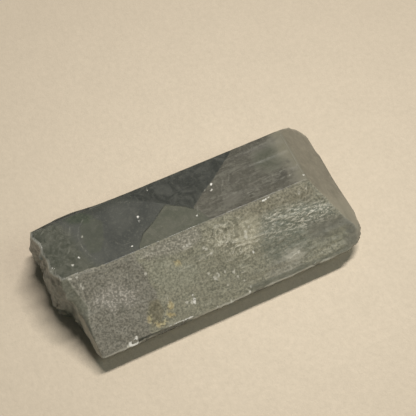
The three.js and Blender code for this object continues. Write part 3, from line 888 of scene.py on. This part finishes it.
def side_layers(n, edge, rough):
    """The sharp edges, the back, the finished end, the underside and the broken end."""
    broken, end, near_end = n.attribute("broken"), n.attribute("end"), n.attribute("near_end")
    below_top = n.attribute("below_top")
    haze = n.noise(0.3, 4, 0.6, swirl=0.5)
    veins = n.noise(0.5, 4, 0.6, (0.5, 1.4, 0.8), 0.6)
    shell = n.tones(rough, 0.36, 0.64, (0.105, 0.13, 0.118), (0.245, 0.278, 0.25))
    etched = n.tones(rough, 0.4, 0.6, (0.26, 0.26, 0.21), (0.38, 0.37, 0.30))
    satin = n.tones(haze, 0.30, 0.70, (0.195, 0.19, 0.145), (0.30, 0.29, 0.225))
    satin = n.dust(satin, veins, 0.48, 0.66, 0.5, (0.40, 0.38, 0.295))
    satin = n.dust(satin, rough, 0.46, 0.38, 0.4, (0.19, 0.18, 0.135))
    satin = n.dust(satin, rough, 0.54, 0.62, 0.4, (0.42, 0.41, 0.32))
    veil = n.both(n.ramp(n.frayed("near_end", haze, 8.0), 1.6, 3.6), n.ramp(below_top, 0.8, 0.4))
    brow = n.both(n.ramp(n.math("ABSOLUTE", near_end), 0.42, 0.15), n.ramp(below_top, 0.6, 0.3))
    lip = n.ramp(n.frayed("below_top", rough, 4.0), 3.0, 2.1)
    low_end = n.math("MAXIMUM", broken, n.both(end, n.ramp(below_top, 1.0, 2.5)))
    end_edges = n.both(low_end, edge, n.ramp(rough, 0.3, 0.5))
    return [
        (n.ramp(edge, 0.05, 0.25), None, None, 0.55),
        (n.both(edge, n.ramp(near_end, -1.0, -2.0), 0.7), (0.36, 0.35, 0.29), 0.5, 0.5),
        (n.attribute("back"), (0.34, 0.35, 0.30), 0.70, 0.12),
        (n.both(veil, 0.9), n.mix(0.5, satin, (0.43, 0.40, 0.305)), 0.28, 0.10),
        (end, satin, 0.45, 0.30),
        (n.both(end, n.ramp(n.attribute("past_ridge"), 1.0, 5.8), 0.55), (0.49, 0.47, 0.37), 0.40, 0.30),
        (n.both(brow, 0.8), (0.36, 0.34, 0.27), 0.32, 0.5),
        (n.attribute("under"), etched, 0.5, 0.45),
        (broken, shell, 0.40, 0.32),
        (n.attribute("sliver"), (0.40, 0.405, 0.34), 0.40, 0.35),
        (n.both(broken, lip, 0.65), (0.62, 0.585, 0.50), 0.3, 0.4),
        (n.both(end_edges, 0.8), (0.64, 0.62, 0.52), 0.3, 0.4),
    ]


def knock_and_highlight_layers(n):
    """The glints, which are painted highlights, and the white bruises, some of which are painted highlights
    too.
    """
    flaw = n.noise(2.6, 3, 0.6)
    return [
        (n.both(n.inner("glint", 0.10, flaw, 0.9), 0.7), (0.92, 0.90, 0.80), 0.1, 0.45),
        (n.inner("bruise_and_highlight", 0.08, flaw, 0.6), (0.95, 0.94, 0.88), 0.0, 0.5),
    ]


def crystal_bump(n, front):
    """The grain that is finer than the mesh."""
    frosted = n.math("MAXIMUM", front, n.math("MULTIPLY", n.attribute("under"), 0.6))
    height = n.both(n.noise(1.8, 5, 0.7), frosted)
    height = n.math("ADD", height, n.both(n.noise(1.0, 4, 0.6), n.attribute("broken")))
    height = n.math("ADD", height, n.math("MULTIPLY", n.noise(0.5, 3, 0.5), 0.12))
    return n.bump(height, 0.15, 0.8)


def crystal_material():
    n = Nodes("barite")
    edge, rough = n.attribute("edge"), n.noise(1.2, 4, 0.65)
    at_ridge = n.ramp(n.attribute("ridge"), 1.0, 0.8)
    front = n.blend(at_ridge, n.attribute("front"), n.inner("past_ridge", 0.12, rough, 1.0))
    layers = top_layers(n) + side_layers(n, edge, rough) + front_layers(n, front, edge) + knock_and_highlight_layers(n)
    colour, clear, roughness = n.layers(layers)
    shader = n.add(
        "ShaderNodeBsdfPrincipled",
        Base_Color=colour, Roughness=roughness, IOR=BARITE_IOR, Transmission_Weight=clear,
    )
    n.set(shader.inputs["Normal"], crystal_bump(n, front))
    volume = n.add("ShaderNodeVolumeAbsorption", Color=SMOKE_COLOUR, Density=SMOKE_DENSITY)
    return n.finish(shader, volume)


def paper_material():
    n = Nodes("paper")
    away = n.add("ShaderNodeVectorMath", {"operation": "DISTANCE"})
    n.set(away.inputs[0], n.place())
    away.inputs[1].default_value = PAINTED_LIGHT_MIDDLE
    reach = n.add("ShaderNodeMapRange", {"interpolation_type": "LINEAR"})
    n.set(reach.inputs["Value"], away.outputs["Value"])
    reach.inputs["From Max"].default_value = PAINTED_LIGHT_REACH
    fibre = (0.50, 0.44, 0.345)
    # The paper's colour carries a painted pool of light, lightest beside the crystal.
    paper_with_painted_light = n.mix(reach.outputs["Result"], (0.93, 0.812, 0.655), (0.71, 0.612, 0.485))
    paper_with_painted_light = n.dust(paper_with_painted_light, n.noise(0.9, 5, 0.75), 0.3, 0.7, 0.2, fibre)
    paper_with_painted_light = n.dust(paper_with_painted_light, n.noise(0.15, 3, 0.6), 0.35, 0.65, 0.06, fibre)
    shader = n.add("ShaderNodeBsdfPrincipled", Base_Color=paper_with_painted_light, Roughness=0.85)
    n.set(shader.inputs["Normal"], n.bump(n.noise(0.6, 5, 0.7), 0.25, 0.8))
    return n.finish(shader)


# ---- the stage -------------------------------------------------------------------------------------


def make_floor():
    """A sheet of paper, just under the crystal."""
    half_side, drop = 3.0, 0.00005  # metres
    corners = [(x * half_side, y * half_side, -drop) for x, y in ((-1, -1), (1, -1), (1, 1), (-1, 1))]
    mesh = bpy.data.meshes.new("floor")
    mesh.from_pydata(corners, [], [(0, 1, 2, 3)])
    floor = bpy.data.objects.new("floor", mesh)
    bpy.context.scene.collection.objects.link(floor)
    mesh.materials.append(paper_material())


def make_camera():
    """The camera looks down on the front face from the broken end's side."""
    turn, height = math.radians(24.924), math.radians(65.235)
    away, aside, lift = 203.8, 3.801, -7.711  # mm, from a point under the ridge
    ridge_point_from_end = 25.15  # mm
    picture_px, focal_px, sensor = 416.0, 1000.0, 36.0
    level = math.cos(height)
    out = Vector((-math.sin(turn) * level, -math.cos(turn) * level, math.sin(height)))
    right = Vector((math.cos(turn), -math.sin(turn), 0))
    up = out.cross(right)
    ridge_point = Vector((END_X - ridge_point_from_end, RIDGE_Y, 0)) + Vector(SHIFT)
    place = ridge_point + out * away - right * aside - up * lift
    camera = bpy.data.objects.new("camera", bpy.data.cameras.new("camera"))
    bpy.context.scene.collection.objects.link(camera)
    camera.data.sensor_width = sensor
    camera.data.lens = focal_px / picture_px * sensor
    camera.data.clip_start, camera.data.clip_end = 0.005, 10.0
    turned = Matrix((right, up, out)).transposed().to_4x4()
    camera.matrix_world = Matrix.Translation(place * MM) @ turned
    bpy.context.scene.camera = camera


def make_light(name, place, size, watts, colour):
    """A rectangular lamp that faces the frame's origin, placed and sized in metres."""
    data = bpy.data.lights.new(name, "AREA")
    data.shape = "RECTANGLE"
    data.size, data.size_y = size
    data.energy = watts
    data.color = colour
    light = bpy.data.objects.new(name, data)
    bpy.context.scene.collection.objects.link(light)
    light.location = place
    light.rotation_mode = "QUATERNION"
    back = Vector(place).normalized()
    side = Vector((1, 0, 0)) - back * back.x
    side.normalize()
    light.rotation_quaternion = Matrix((side, back.cross(side), back)).transposed().to_quaternion()


def make_world():
    """Faint light from all round the room."""
    world = bpy.data.worlds.new("room")
    world.use_nodes = True
    background = world.node_tree.nodes["Background"]
    background.inputs["Color"].default_value = (*ROOM_COLOUR, 1)
    background.inputs["Strength"].default_value = ROOM_STRENGTH
    bpy.context.scene.world = world


crystal = build_crystal(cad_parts["barite_crystal"])
crystal.data.materials.clear()
crystal.data.materials.append(crystal_material())
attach(crystal, "root")
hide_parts("barite_crystal")

make_floor()
make_camera()
make_world()
make_light("key", place=(0.205, 0.16, 0.85), size=(0.34, 0.08), watts=6.05, colour=LAMP_COLOUR)
make_light("fill", place=(0.24, -0.20, 0.50), size=(0.24, 0.20), watts=0.46, colour=ROOM_COLOUR)
bpy.context.scene.view_settings.view_transform = "Standard"
